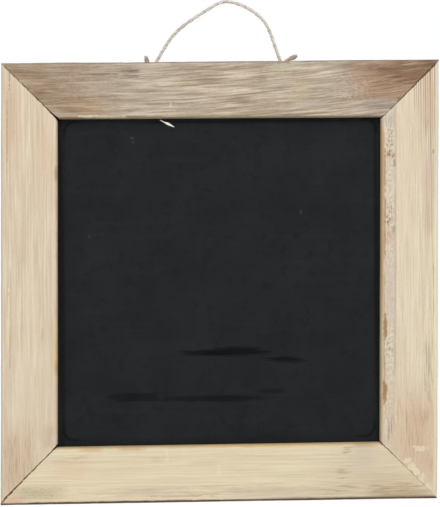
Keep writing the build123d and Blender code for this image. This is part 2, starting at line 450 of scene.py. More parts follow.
def member(name, tree, seed):
    """One frame member with its worn shape, set in its place on the racked board."""
    length, middle, turn = MEMBERS[name]
    place = Matrix.Translation(middle) @ Matrix.Rotation(turn, 4, "Y")
    values = {"Length": length * MM, "Rows": ROWS, "Wood": raw_pine(name, length)}
    mesh = grown(name, section_mesh(), tree, values)
    grain = grain_places(mesh)
    normals = np.array([vertex.normal for vertex in mesh.vertices])
    moved = grain + wear(grain, normals, LOOKS[name]["raised"], seed)
    moved += fitted_ends(grain, length, SLIPS[name], seed + 6)
    moved += worn_lip(grain, length, LIP_WEAR[name])
    moved += dents(grain, normals, DENTS[name])
    rows = np.column_stack([moved, np.ones(len(moved))]) @ np.array(place).T
    rows[:, 0] += RACK * (rows[:, 2] - HEIGHT / 2)
    rows[:, 1] -= nail_hollows(rows, grain)
    mesh.vertices.foreach_set("co", (rows[:, :3] * MM).ravel())
    mesh.set_sharp_from_angle(angle=SHARP_EDGE)
    piece = new_piece("worn_" + name, mesh)
    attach(piece, "board")
    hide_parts(name)


# Patterns in the wood: the length and width of their streaks, and their detail
FIBRES = (7.0, 0.5, 3.0)
GRIT = (2.0, 0.9, 4.0)
BROAD_TINT = (40.0, 9.0, 4.0)
RING_RUNS = (70.0, 8.0, 2.0)
ARRIS_BITES = (7.0, 3.0, 4.0)
MITRE_LINE_BITES = (3.0, 3.0, 4.0)
FIGURE_DETAIL = 5.0
WANDER_LENGTH = 80.0
WANDER_WIDTH = 22.0

# The levels of the figure at which a darker tone gives way to a paler one, and by how much they blend
TONE_LEVELS = (0.4, 0.5, 0.6)
TONE_BLEND = 0.07

# Growth rings: how often and how far their spacing changes, and how softly they fade across the face
RING_CHANGES = 0.6
RING_UNEVEN = 1.6
RING_FADE = 3.0

# Arrises: how far their bands' edges swing, the outer one's share of that, and how far back its painted shade
# goes
ARRIS_UNEVEN = 1.5
OUTER_UNEVEN = 0.4
ARRIS_DEPTH = 2.0

# Each member's wood. Tones run from the darkest streaks to the palest, in a figure of a length and a width.
# Rings have a spacing, how far in from the outer edge they show, and how strongly at the member's two ends.
# The grain leans by "lean", as a share, and by twice "bend" more for each millimetre along. Arrises have a
# colour, a width and a strength: the inner one a tan band, the outer one painted shade on its round.
LOOKS = {
    "top_rail": {
        "tones": ("#a08c75", "#b5a38d", "#c7b7a2", "#d5c8b5"), "tint": "#b2a699", "tinted": 0.5,
        "figure": (26.0, 1.25), "streak": 0.12, "raised": 0.08,
        "late": "#8a7560", "rings": (2.2, 60.0, 0.6, 0.45), "pith": (34.0, -30.0),
        "lean": 0.061, "bend": -0.0003, "wander": 4.0,
        "outer": ("#968a85", 0.8, 0.9), "inner": ("#a89a7c", 0.9, 0.8),
    },
    "left_stile": {
        "tones": ("#d4c2a7", "#dccbb1", "#e1d2b9", "#e5d8c0"), "tint": "#d9c4ab", "tinted": 0.4,
        "figure": (36.0, 1.1), "streak": 0.04, "raised": 0.05,
        "late": "#c2ad92", "rings": (1.6, 60.0, 0.5, 0.4), "pith": (60.0, 90.0),
        "lean": 0.004, "bend": 0.0, "wander": 1.2,
        "outer": ("#cbc3bc", 1.2, 0.9), "inner": ("#d2b48c", 0.5, 0.7),
    },
    "right_stile": {
        "tones": ("#dac9ad", "#dfd0b5", "#e4d6bd", "#e8dcc5"), "tint": "#dfcdb4", "tinted": 0.3,
        "figure": (36.0, 0.9), "streak": 0.05, "raised": 0.05,
        "late": "#a98b74", "rings": (1.3, 15.0, -1.0, 1.5), "pith": (14.0, -26.0),
        "lean": 0.014, "bend": 0.0, "wander": 1.6,
        "outer": ("#bcb5aa", 0.5, 0.9), "inner": ("#c6a47a", 1.8, 0.9),
    },
    "bottom_rail": {
        "tones": ("#decfb0", "#e4d5b7", "#e8dabd", "#ecdfc5"), "tint": "#e2cfb4", "tinted": 0.35,
        "figure": (40.0, 0.9), "streak": 0.03, "raised": 0.05,
        "late": "#cfbd9b", "rings": (1.8, 60.0, 0.4, 0.5), "pith": (60.0, 80.0),
        "lean": 0.003, "bend": 0.0, "wander": 1.2,
        # The bottom rail's outer colour is a dark painted shadow line along its lower edge
        "outer": ("#57423d", 1.5, 0.95), "inner": ("#d8bb88", 1.0, 0.75),
    },
}

# Kinds of stain: whether the pattern leans with the grain, and the length, width and detail of its streaks.
# A wash is soft, a mark has a ragged edge, streaks run along the grain and flames are longer pale ones,
# specks are dark crumbs and flakes pale ones.
PATTERNS = {
    "wash": (True, 24.0, 2.5, 5.0),
    "mark": (False, 3.2, 1.6, 4.0),
    "streaks": (True, 14.0, 0.9, 4.0),
    "specks": (False, 1.9, 1.1, 4.0),
    "flakes": (False, 1.9, 1.1, 4.0),
    "flames": (True, 26.0, 1.2, 3.0),
}

# How far a stain's edge follows its pattern, and the reach at which its colour starts and is full
EDGES = {
    "wash": (1.5, 2.4, 0.2),
    "mark": (4.0, 3.1, 2.4),
    "streaks": (6.0, 3.6, 2.2),
    "specks": (5.0, 3.1, 1.7),
    "flakes": (-5.0, -1.8, -3.3),
    "flames": (-6.0, -2.6, -3.6),
}

# Stains, chips and worn places on the faces, with a painted highlight and a painted shadow line on two outer
# arrises: kind, s and u, half sizes along and across, colour and strength
STAINS_AND_PAINTED_LIGHT = {
    "top_rail": [
        ("wash", 108, 18, 42, 22, "#9c8166", 0.75), ("wash", 121, 7.6, 10, 4, "#8f7057", 0.6),
        ("wash", 133, 3.6, 7, 4, "#85665a", 0.6), ("wash", 116, 20, 5, 3, "#78604a", 0.5),
        ("wash", 95, 31, 8, 3, "#88684a", 0.6), ("wash", 84, 29, 10, 4.5, "#bd9b72", 0.5),
        ("streaks", 95, 18, 40, 18, "#7e6753", 0.5), ("flakes", 82, 15, 30, 12, "#d0c5b8", 0.25),
        ("wash", 56, 20, 26, 14, "#b6aa9b", 0.4), ("streaks", 59, 7.5, 9, 5, "#66533f", 0.75),
        ("mark", 78, 7.7, 13, 0.5, "#86705a", 0.6), ("streaks", 42, 15, 5, 2.5, "#8a745c", 0.6),
        ("streaks", 18, 5, 18, 3.5, "#93806a", 0.65), ("streaks", -18, 3.7, 16, 3, "#9a846d", 0.65),
        ("streaks", -27, 11.5, 4, 7, "#927e66", 0.65), ("wash", -42, 4.2, 11, 4.5, "#cdccb4", 0.6),
        ("mark", -40, 7.0, 14, 0.5, "#937f68", 0.6), ("streaks", 2, 27.5, 8, 2.2, "#9c8364", 0.6),
        ("streaks", -28, 29, 30, 6, "#9c8a74", 0.6), ("wash", -50, 20, 7, 8, "#cfbf9b", 0.45),
        ("streaks", -78, 8, 12, 7, "#95867a", 0.6), ("flakes", -82, 17, 16, 12, "#dfd6c8", 0.4),
        ("wash", -117, 13, 38, 18, "#8e6d53", 1.0), ("wash", -126, 9, 16, 10, "#7b5b46", 0.6),
        ("streaks", -116, 10, 26, 12, "#664a39", 0.6), ("flames", -105, 14, 30, 14, "#c0a084", 0.6),
        ("flakes", -88, 19, 12, 8, "#d2c3b2", 0.35), ("flames", -117, 3.4, 12, 1.6, "#cbb59a", 0.7),
        ("wash", -101, 30, 14, 5, "#b4a89d", 0.7), ("streaks", -101, 30, 13, 4, "#74655b", 0.6),
        ("wash", -136, 2, 6, 3.5, "#654a40", 0.7), ("wash", 93, 36.3, 10, 1.6, "#9d7f6a", 0.8),
        ("mark", 75, 35.3, 15, 1.1, "#e2d6ba", 0.75), ("mark", 31.8, 28, 0.7, 1.8, "#e6dcc8", 0.4),
        ("mark", -40.3, 0.8, 4, 1.2, "#a08672", 0.6), ("mark", -113.8, 25, 1.5, 1.0, "#7d5a40", 0.6),
    ],
    "left_stile": [
        ("wash", -104, 6, 30, 6, "#cfb195", 0.5), ("wash", -83, 28, 22, 5, "#d9bba0", 0.6),
        ("mark", -132, 5.5, 9, 0.6, "#9c8266", 0.6), ("mark", -95, 4, 24, 0.6, "#bb9c7e", 0.6),
        ("wash", -70, 36, 5, 1.6, "#b08a5c", 0.7), ("wash", 53, 36, 5, 1.3, "#aa874f", 0.6),
        ("wash", 42, 35.5, 18, 2.6, "#dfbc82", 0.6), ("mark", 21, 5, 20, 0.5, "#ebe3c2", 0.7),
        ("mark", 41, 5.9, 15, 0.5, "#ae9877", 0.6), ("streaks", 32, 27, 8, 3, "#b39d80", 0.5),
        ("wash", 88, 24, 16, 12, "#d0bb9f", 0.3), ("wash", 64, 15, 30, 14, "#e6d9c0", 0.3),
        ("wash", 98, 32, 8, 5, "#c3a687", 0.5), ("wash", 101, 34.5, 4, 2.6, "#d9cdc6", 0.7),
        ("wash", 120, 11, 32, 15, "#cfb096", 0.55), ("streaks", 116, 11, 28, 12, "#ab8f76", 0.45),
    ],
    "right_stile": [
        ("mark", 0, 30.6, 130, 3.4, "#d4c6b0", 0.85), ("specks", 0, 30.8, 124, 3.0, "#b39c82", 0.4),
        ("flakes", 0, 30.6, 124, 2.8, "#ebe3d4", 0.6), ("wash", 10, 27.8, 118, 0.8, "#bda794", 0.7),
        ("wash", -5, 30.6, 24, 3.2, "#d3bfb3", 0.7), ("wash", 105, 33, 9, 4.5, "#d8cdbf", 0.9),
        ("streaks", 103, 31, 10, 4, "#968777", 0.7), ("wash", -45, 36.2, 46, 2.2, "#dac9aa", 0.75),
        ("streaks", -10, 34.1, 110, 0.9, "#93714c", 0.7), ("mark", 70, 34.3, 14, 0.6, "#a27d58", 0.6),
        ("mark", 45, 34.3, 9, 0.6, "#9a744e", 0.65), ("mark", 23, 34.3, 9, 0.6, "#a07850", 0.6),
        ("specks", -60, 33.8, 50, 1.2, "#8f7454", 0.4), ("mark", 80, 30.8, 1.2, 3.6, "#b08d6a", 0.55),
        ("specks", 80.5, 31.4, 4, 4.0, "#8a6447", 0.7), ("mark", 74.5, 28.5, 2.6, 0.8, "#94795f", 0.6),
        ("specks", 91, 31.6, 9, 3.4, "#8a765f", 0.7), ("specks", 46, 31, 7, 3.2, "#8f7c66", 0.55),
        ("specks", -43, 31.4, 9, 2.8, "#94846e", 0.5), ("specks", 38, 32.4, 4.5, 3.6, "#946f4c", 0.75),
        ("wash", 28, 31, 6, 3, "#c69a84", 0.5), ("mark", 32.5, 28.9, 2.8, 0.8, "#94806c", 0.5),
        ("mark", -30, 34.0, 8, 1.1, "#9a7647", 0.75), ("mark", -71.5, 34.0, 7, 1.5, "#a07a48", 0.8),
        ("streaks", -95, 30.6, 11, 2.6, "#857872", 0.8), ("wash", -98, 35, 16, 2.4, "#e0d4bc", 0.7),
        ("wash", 68, 6.0, 17, 4.5, "#d0b8a6", 0.75), ("wash", 41, 6, 12, 3.4, "#c4ad96", 0.5),
        ("streaks", -55, 6.5, 26, 4, "#a8967f", 0.65), ("wash", 112, 5.5, 18, 5, "#cbaf97", 0.55),
        ("wash", 89, 14, 36, 16, "#d3c1a4", 0.25), ("mark", 82, 3.4, 1.4, 1.0, "#7f634a", 0.45),
        ("streaks", -2, 2.9, 36, 1.0, "#948977", 0.75), ("streaks", -80, 6.2, 15, 3.2, "#a08a74", 0.6),
        ("streaks", 97, 7.7, 8, 2.2, "#9c8a78", 0.65), ("wash", -105, 14, 38, 18, "#d1b398", 0.75),
        # The pale wash along the outer arris, at u 1.2, is a painted highlight
        ("streaks", -95, 15, 28, 15, "#b98f6e", 0.45), ("wash", 0, 1.2, 170, 1.6, "#ece2c8", 0.9),
        ("mark", -108.5, 11.1, 1.9, 5, "#e9ddc1", 0.75), ("mark", -116.2, 20, 2.0, 3.6, "#e9ddc1", 0.75),
        ("mark", -120, 16.8, 2.6, 2.8, "#e9ddc1", 0.75), ("mark", -123.4, 13.8, 3.0, 2.4, "#e9ddc1", 0.85),
        ("mark", -128, 10.4, 3.4, 2.2, "#e6d8bb", 0.85), ("mark", -133.6, 5.8, 3.0, 2.4, "#e6d8bb", 0.8),
    ],
    "bottom_rail": [
        ("wash", -96, 22.7, 14, 6.5, "#dfbe9d", 0.45), ("streaks", -93, 29, 16, 4, "#bda883", 0.45),
        ("wash", -83, 35.4, 8, 2.0, "#cda774", 0.7), ("wash", -56, 35.4, 9, 2.0, "#cda774", 0.7),
        ("mark", -0.6, 21, 1.5, 5, "#efe5cf", 0.35), ("mark", -34, 30.5, 1.0, 4.5, "#eee4cf", 0.35),
        ("wash", -28, 19, 36, 15, "#e9dab8", 0.25), ("wash", -41, 27.6, 4, 2.4, "#d8b894", 0.4),
        ("wash", -10.6, 25.4, 10, 2.2, "#dfc0a2", 0.45), ("wash", -47, 8, 18, 3, "#bdb1a4", 0.45),
        ("streaks", -5, 7, 85, 4, "#b3a498", 0.45), ("mark", -26, 4, 20, 0.6, "#b09f82", 0.5),
        ("wash", -115, 7.6, 18, 5.0, "#bcae91", 0.6), ("specks", -115, 7.6, 17, 5.2, "#a89b80", 0.35),
        ("wash", -131, 3.0, 8, 2.4, "#d3a484", 0.55), ("wash", 20, 36.2, 70, 1.6, "#dcb876", 0.6),
        ("wash", 93, 35.4, 8, 2.0, "#b8905a", 0.7), ("streaks", 82, 32, 4, 3.4, "#7f6b4a", 0.65),
        ("wash", 92, 27, 10, 10, "#cfc1b4", 0.5), ("streaks", 79, 19, 6, 7, "#95825f", 0.6),
        ("wash", 40, 5, 44, 4.5, "#c9bba8", 0.5), ("streaks", 124, 9.5, 8, 3.6, "#5d4a36", 0.75),
        ("streaks", 77, 8, 16, 5.5, "#957858", 0.85), ("wash", 110, 9, 28, 9, "#cdb193", 0.5),
        ("wash", 94, 17, 36, 18, "#cbbca4", 0.45), ("wash", 118, 3.5, 24, 3, "#a8927a", 0.6),
        # The dark wash along the lower edge, at u 0.4, is a painted shadow line
        ("streaks", 110, 7, 20, 5, "#9a8264", 0.55), ("wash", 90, 0.4, 66, 2.0, "#463129", 0.7),
    ],
}

# Dirt and painted shade of the hairline gaps at the mitres: how far from the outer edge they start and are
# full, and how far they spread along the grain, at their outer and inner end
MITRE_LINE_START = 0.8
MITRE_LINE_FULL = 2.4
TOP_LEFT = (0.6, 0.75)
TOP_RIGHT = (1.15, 0.35)
BOTTOM_LEFT = (1.15, 0.45)
BOTTOM_RIGHT = (-0.3, 0.7)
MITRE_DIRT_AND_SHADE = {
    "top_rail": (TOP_RIGHT, TOP_LEFT),
    "bottom_rail": (BOTTOM_LEFT, BOTTOM_RIGHT),
    "left_stile": (TOP_LEFT, BOTTOM_LEFT),
    "right_stile": (BOTTOM_RIGHT, TOP_RIGHT),
}


def raw_pine(name, length):
    """Raw pine, sawn, planed and left bare: matte, streaked along the grain, with stains, a tan inner arris
    and painted shade on the outer one.
    """
    look = LOOKS[name]
    material, tree = new_finish(name + "_raw_pine")
    grain = add(tree, "ShaderNodeAttribute", attribute_name="grain").outputs["Vector"]
    line = grain_line(tree, grain, look)
    bands = streaks(tree, line, *look["figure"], FIGURE_DETAIL)
    tone = colour(look["tones"][0])
    for level, code in zip(TONE_LEVELS, look["tones"][1:]):
        tone = coated(tree, tone, (bands, level - TONE_BLEND, level + TONE_BLEND, code, 1.0))
    broad = streaks(tree, line, *BROAD_TINT)
    tone = coated(tree, tone, (broad, 0.44, 0.66, look["tint"], look["tinted"]))
    tone = growth_rings(tree, line, tone, look)
    # A tan band on the inner arris, and painted shade on the outer arris's round
    tone = arris_bands_and_painted_shade(tree, grain, tone, look)
    # Stains, with a painted highlight and a painted shadow line on two outer arrises
    tone = stains_and_painted_light(tree, grain, line, tone, STAINS_AND_PAINTED_LIGHT[name])
    # Dirt and painted shade of the hairline gap along the mitres
    tone = mitre_dirt_and_shade(tree, grain, tone, length, MITRE_DIRT_AND_SHADE[name])
    fine = bands
    for sizes in (FIBRES, GRIT):
        fine = add(tree, "ShaderNodeMath", {0: fine, 1: streaks(tree, line, *sizes)}, operation="ADD")
    pale = 1 + look["streak"]
    dark = 1 - look["streak"]
    levels = {"Value": fine, "From Min": 1.2, "From Max": 1.8, "To Min": dark, "To Max": pale}
    level = add(tree, "ShaderNodeMapRange", levels)
    shaded = add(tree, "ShaderNodeVectorMath", {0: tone, "Scale": level}, operation="SCALE")
    bump = add(tree, "ShaderNodeBump", {"Strength": 0.4, "Distance": 0.2 * MM, "Height": fine})
    surface(tree, {"Base Color": shaded, "Roughness": 0.8, "Specular IOR Level": 0.2, "Normal": bump})
    return material


def grain_line(tree, grain, look):
    """Each place as the grain runs there: it wanders slowly, and leans more towards one end."""
    slowly = (1 / WANDER_LENGTH, 1 / WANDER_WIDTH, 1 / WANDER_WIDTH)
    slow = add(tree, "ShaderNodeMapping", {"Vector": grain, "Scale": slowly})
    drift = add(tree, "ShaderNodeTexNoise", {"Vector": slow, "Scale": 1.0, "Detail": 2.0}).outputs["Color"]
    wander = (0.0, look["wander"], look["wander"])
    swing = add(tree, "ShaderNodeVectorMath", {0: drift, 1: wander, 2: grain}, operation="MULTIPLY_ADD")
    along = add(tree, "ShaderNodeSeparateXYZ", {0: grain}).outputs["X"]
    slope = {0: along, 1: look["bend"], 2: look["lean"]}
    steep = add(tree, "ShaderNodeMath", slope, operation="MULTIPLY_ADD")
    rise = add(tree, "ShaderNodeMath", {0: steep, 1: along}, operation="MULTIPLY")
    aside = add(tree, "ShaderNodeCombineXYZ", {"Z": rise})
    return add(tree, "ShaderNodeVectorMath", {0: swing, 1: aside}, operation="SUBTRACT")


def growth_rings(tree, line, tone, look):
    """Growth rings round a pith outside the member: early wood darkens to a sharp late edge, in runs."""
    spacing, reach, near, far = look["rings"]
    apart = add(tree, "ShaderNodeVectorMath", {0: line, 1: (0, *look["pith"])}, operation="SUBTRACT")
    flat = add(tree, "ShaderNodeVectorMath", {0: apart, 1: (0, 1, 1)}, operation="MULTIPLY")
    radius = add(tree, "ShaderNodeVectorMath", {0: flat}, operation="LENGTH").outputs["Value"]
    count = add(tree, "ShaderNodeMath", {0: radius, 1: spacing}, operation="DIVIDE")
    spaced = {"W": count, "Scale": RING_CHANGES, "Detail": 1.0}
    uneven = add(tree, "ShaderNodeTexNoise", spaced, noise_dimensions="1D")
    shifted = add(tree, "ShaderNodeMath", {0: uneven, 1: RING_UNEVEN, 2: count}, operation="MULTIPLY_ADD")
    step = add(tree, "ShaderNodeMath", {0: shifted}, operation="FRACT")
    late = add(tree, "ShaderNodeMath", {0: step, 1: 2.0}, operation="POWER")
    place = add(tree, "ShaderNodeSeparateXYZ", {0: line}).outputs
    for value, low, high, start, full in (
        (place["Z"], reach + RING_FADE, reach - RING_FADE, 0.0, 1.0),
        (streaks(tree, line, *RING_RUNS), 0.36, 0.56, 0.0, 1.0),
        (place["X"], -WIDTH / 2, WIDTH / 2, near, far),
    ):
        levels = {"Value": value, "From Min": low, "From Max": high, "To Min": start, "To Max": full}
        share = add(tree, "ShaderNodeMapRange", levels)
        late = add(tree, "ShaderNodeMath", {0: late, 1: share}, operation="MULTIPLY")
    return coated(tree, tone, (late, 0.0, 1.0, look["late"], 1.0))


def arris_bands_and_painted_shade(tree, grain, tone, look):
    """A tan band on the inner arris, and painted shade on the outer one's round, each with an uneven edge."""
    place = add(tree, "ShaderNodeSeparateXYZ", {0: grain}).outputs
    bites = streaks(tree, grain, *ARRIS_BITES)
    swing = {0: bites, 1: 2 * ARRIS_UNEVEN, 2: -ARRIS_UNEVEN}
    uneven = add(tree, "ShaderNodeMath", swing, operation="MULTIPLY_ADD")
    within = add(tree, "ShaderNodeMath", {0: uneven, 1: LIP_EDGE}, operation="ADD")
    inner = add(tree, "ShaderNodeMath", {0: within, 1: place["Z"]}, operation="SUBTRACT")
    behind = add(tree, "ShaderNodeMath", {0: place["Y"], 1: FRONT + ARRIS_DEPTH}, operation="SUBTRACT")
    from_outer_arris = add(tree, "ShaderNodeMath", {0: place["Z"], 1: behind}, operation="MAXIMUM")
    outer = add(tree, "ShaderNodeMath", {0: uneven, 1: OUTER_UNEVEN, 2: from_outer_arris}, operation="MULTIPLY_ADD")
    # The outer band is painted shade where the round turns from the light, darkest under the bottom rail
    for edge, (code, width, strength), past, short in (
        (inner, look["inner"], 0.6, 0.6),
        (outer, look["outer"], 0.4, 0.3),
    ):
        tone = coated(tree, tone, (edge, width + past, width - short, code, strength))
    return tone


def stains_and_painted_light(tree, grain, line, tone, stains):
    """Stains, chips, worn places and bands of painted light and shade: patches with rounded corners, edged by
    the pattern of their kind.
    """
    patterns = {}
    for kind, (leans, *sizes) in PATTERNS.items():
        patterns[kind] = streaks(tree, line if leans else grain, *sizes)
    for kind, s, u, half_s, half_u, code, strength in stains:
        follow, start, full = EDGES[kind]
        patch = {"Vector": grain, "Location": (s, FRONT, u), "Scale": (half_s, BACK, half_u)}
        apart = add(tree, "ShaderNodeMapping", patch, vector_type="TEXTURE")
        squared = add(tree, "ShaderNodeVectorMath", {0: apart, 1: apart}, operation="MULTIPLY")
        reach = add(tree, "ShaderNodeVectorMath", {0: squared}, operation="LENGTH").outputs["Value"]
        ragged = {0: patterns[kind], 1: follow, 2: reach}
        edge = add(tree, "ShaderNodeMath", ragged, operation="MULTIPLY_ADD")
        tone = coated(tree, tone, (edge, start, full, code, strength))
    return tone


def mitre_dirt_and_shade(tree, grain, tone, length, widths):
    """Dirt and painted shade of the hairline gap along each end's mitre, in a ragged line that narrows from
    one end to the other.
    """
    place = add(tree, "ShaderNodeSeparateXYZ", {0: grain}).outputs
    along = add(tree, "ShaderNodeMath", {0: place["X"]}, operation="ABSOLUTE")
    used = add(tree, "ShaderNodeMath", {0: along, 1: place["Z"]}, operation="ADD")
    left = add(tree, "ShaderNodeMath", {0: length / 2, 1: used}, operation="SUBTRACT")
    bites = {"Value": streaks(tree, grain, *MITRE_LINE_BITES), "From Min": 0.3, "From Max": 0.7}
    ragged = add(tree, "ShaderNodeMapRange", {**bites, "To Min": 0.4, "To Max": 1.6})
    from_edge = {"Value": place["Z"], "From Min": MITRE_LINE_START, "From Max": MITRE_LINE_FULL}
    inside = add(tree, "ShaderNodeMapRange", from_edge)
    for side, (outer, inner) in zip(("LESS_THAN", "GREATER_THAN"), widths):
        spread = {"Value": place["Z"], "From Max": LIP_EDGE, "To Min": outer, "To Max": inner}
        wide = add(tree, "ShaderNodeMapRange", spread)
        here = add(tree, "ShaderNodeMath", {0: place["X"], 1: 0.0}, operation=side)
        for share in (ragged, inside, here):
            wide = add(tree, "ShaderNodeMath", {0: wide, 1: share}, operation="MULTIPLY")
        past = add(tree, "ShaderNodeMath", {0: left, 1: wide}, operation="SUBTRACT")
        # The brown line is dirt in the joint and painted shade of its hairline gap
        tone = coated(tree, tone, (past, 0.2, -0.6, "#5a3f24", 0.95))
    return tone


# A splinter that has lifted off the top rail: the points of its line, with the share of its width at each
SPLINTER = [
    (-37.4, -7.6, 244.7, 0.15), (-36.0, -8.4, 244.0, 0.25), (-34.6, -8.9, 243.2, 0.35),
    (-31.8, -9.1, 242.0, 1.3), (-28.2, -9.2, 240.0, 0.1),
]
SPLINTER_STEPS = 8
SPLINTER_WIDTH = 1.6
SPLINTER_THICKNESS = 0.5
SPLINTER_SLOPE = radians(-25)
SPLINTER_FIBRES = (1 / 4.0, 1 / 0.3, 1 / 0.3)


def splinter():
    """A pale splinter that hangs from the top rail's inner arris over the panel: a flat curved sliver."""
    mesh = smooth_line("splinter", SPLINTER, SPLINTER_STEPS, SPLINTER_WIDTH)
    middle = SPLINTER[2][1] * MM
    for vertex in mesh.vertices:
        vertex.co.y = middle + (vertex.co.y - middle) * SPLINTER_THICKNESS / SPLINTER_WIDTH
    mesh.shade_smooth()
    mesh.materials.append(fresh_pine())
    piece = new_piece("top_rail_splinter", mesh)
    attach(piece, "board")


def fresh_pine():
    """Pine that has just split: pale and clean, with fine fibres along it (4 mm long, 0.3 mm wide)."""
    material, tree = new_finish("fresh_split_pine")
    sliver = {"Vector": place_mm(tree), "Rotation": (0, SPLINTER_SLOPE, 0), "Scale": SPLINTER_FIBRES}
    along = add(tree, "ShaderNodeMapping", sliver)
    fibres = add(tree, "ShaderNodeTexNoise", {"Vector": along, "Scale": 1.0, "Detail": 2.0})
    tone = coated(tree, colour("#f3eee2"), (fibres, 0.5, 0.75, "#d6c9ad", 0.8))
    surface(tree, {"Base Color": tone, "Roughness": 0.75, "Specular IOR Level": 0.2})
    return material


# Panel

# A shallow groove runs round the painted face, a little above the middle
GROOVE_HALF_WIDTH = 100.2
GROOVE_HALF_HEIGHT = 102.3
GROOVE_RISE = 1.2
GROOVE_WIDTH = 2.3
GROOVE_DEPTH = 0.12
GROOVE_SIDES = 0.3
GROOVE_CORNER = 7.0
BORDER = 20.0
BORDER_STEP = 0.5
FIELD_STEP = 4.0

# Patterns in the paint and the hardboard: sizes of clouds, and the length, width and detail of streaks
PAINT_CLOUD = 30.0
PAINT_MOTTLE = 5.0
PAINT_GRIT = 0.8
WIPED = (55.0, 5.0, 4.0)
BRUSHED = (11.0, 0.9, 4.0)
SCREEN_PITCH = 1.6
BOARD_FIBRE = 1.2
BOARD_CLOUD = 35.0

# Marks on the paint, and bands of painted shade beside the frame's lip: across and above the middle, half
# sizes, colour and strength. Their edges fray by a share of the half size, and the colour starts and is full
# at two other shares of it.
FRAY = 1.6
FRAY_START = 1.25
FRAY_FULL = 0.6
PAINT_MARKS_AND_LIP_SHADE = [
    (9.0, -45.3, 21.0, 3.1, "#0d0d0f", 0.8), (-8.5, -45.9, 17.0, 2.0, "#0e0f11", 0.8),
    (41.0, -50.6, 9.5, 2.0, "#0d0d10", 0.75), (48.5, -51.8, 6.5, 1.8, "#111114", 0.5),
    (32.0, -50.1, 3.6, 0.9, "#131316", 0.5), (-62.0, -73.7, 9.5, 2.6, "#151618", 0.72),
    (-50.5, -73.7, 10.5, 2.8, "#151618", 0.72), (-7.4, -75.2, 40.0, 2.0, "#141517", 0.65),
    (5.7, -75.5, 14.5, 2.8, "#141416", 0.5), (32.2, -71.0, 10.0, 1.6, "#141518", 0.6),
    # The long thin bands along the top, left and right of the opening are painted shade from the frame's lip
    (20.0, 102.6, 76.0, 1.2, "#0e0e10", 0.4), (-101.6, 0.0, 1.9, 118.0, "#111113", 0.48),
    (100.8, 10.0, 1.5, 112.0, "#111113", 0.45), (-55.4, 92.7, 1.4, 1.0, "#3e3f41", 0.7),
    (-54.9, 90.2, 1.1, 0.6, "#3d3e40", 0.6), (52.5, 44.2, 0.8, 1.5, "#3e3f41", 0.7),
    (-83.5, 29.7, 1.2, 1.1, "#37383a", 0.6),
]


def panel_lines(low, high):
    """Grid lines across the panel: close together in its border, wide apart in its field."""
    border = np.arange(0, BORDER, BORDER_STEP)
    field = np.linspace(low + BORDER, high - BORDER, ceil((high - low - 2 * BORDER) / FIELD_STEP) + 1)
    return np.concatenate([low + border, field, (high - border)[::-1]])


def groove_line(x, z):
    """How far each place is outside the groove's rounded, racked line, and the share of its depth there."""
    height = z - HEIGHT / 2 - GROOVE_RISE
    past_x = np.abs(x - RACK * height) - GROOVE_HALF_WIDTH + GROOVE_CORNER
    past_z = np.abs(height) - GROOVE_HALF_HEIGHT + GROOVE_CORNER
    outside = np.hypot(np.maximum(past_x, 0), np.maximum(past_z, 0))
    past = outside + np.minimum(np.maximum(past_x, past_z), 0) - GROOVE_CORNER
    corner = np.clip(1 + np.minimum(past_x, past_z) / GROOVE_CORNER, GROOVE_SIDES, 1)
    return past, corner * np.exp(-((past / (GROOVE_WIDTH / 2)) ** 2))


def panel_mesh():
    """The panel: a painted face with a shallow groove round it, square edges and a flat back."""
    across = panel_lines(PANEL_LOW.x, PANEL_HIGH.x)
    up = panel_lines(PANEL_LOW.z, PANEL_HIGH.z)
    x, z = (part.ravel() for part in np.meshgrid(across, up))
    past, groove = groove_line(x, z)
    front = PANEL_LOW.y + GROOVE_DEPTH * groove
    back = np.full_like(x, PANEL_HIGH.y)
    points = np.concatenate([np.column_stack([x, front, z]), np.column_stack([x, back, z])]) * MM
    wide, tall = len(across), len(up)
    layer = wide * tall
    cells = [row * wide + column for row in range(tall - 1) for column in range(wide - 1)]
    faces = [(layer + a, layer + a + wide, layer + a + wide + 1, layer + a + 1) for a in cells]
    faces += [(a, a + 1, a + wide + 1, a + wide) for a in cells]
    bottom = list(range(wide))
    right = [wide - 1 + wide * i for i in range(tall)]
    top = list(range(layer - 1, layer - wide - 1, -1))
    left = [wide * i for i in range(tall - 1, -1, -1)]
    for side in (bottom, right, top, left):
        faces += [(b, a, layer + a, layer + b) for a, b in zip(side, side[1:])]
    mesh = bpy.data.meshes.new("blackboard")
    mesh.from_pydata([tuple(p) for p in points], [], faces)
    for name, values in (("past_groove", past), ("groove", groove)):
        mesh.attributes.new(name, "FLOAT", "POINT").data.foreach_set("value", np.tile(values, 2))
    mesh.materials.append(blackboard_paint())
    mesh.materials.append(bare_hardboard())
    mesh.polygons.foreach_set("material_index", [int(i < len(cells)) for i in range(len(faces))])
    mesh.shade_smooth()
    mesh.set_sharp_from_angle(angle=SHARP_EDGE)
    return mesh


def panel():
    """The painted hardboard panel in its rebate."""
    piece = new_piece("blackboard", panel_mesh())
    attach(piece, "board")
    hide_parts("writing_panel")


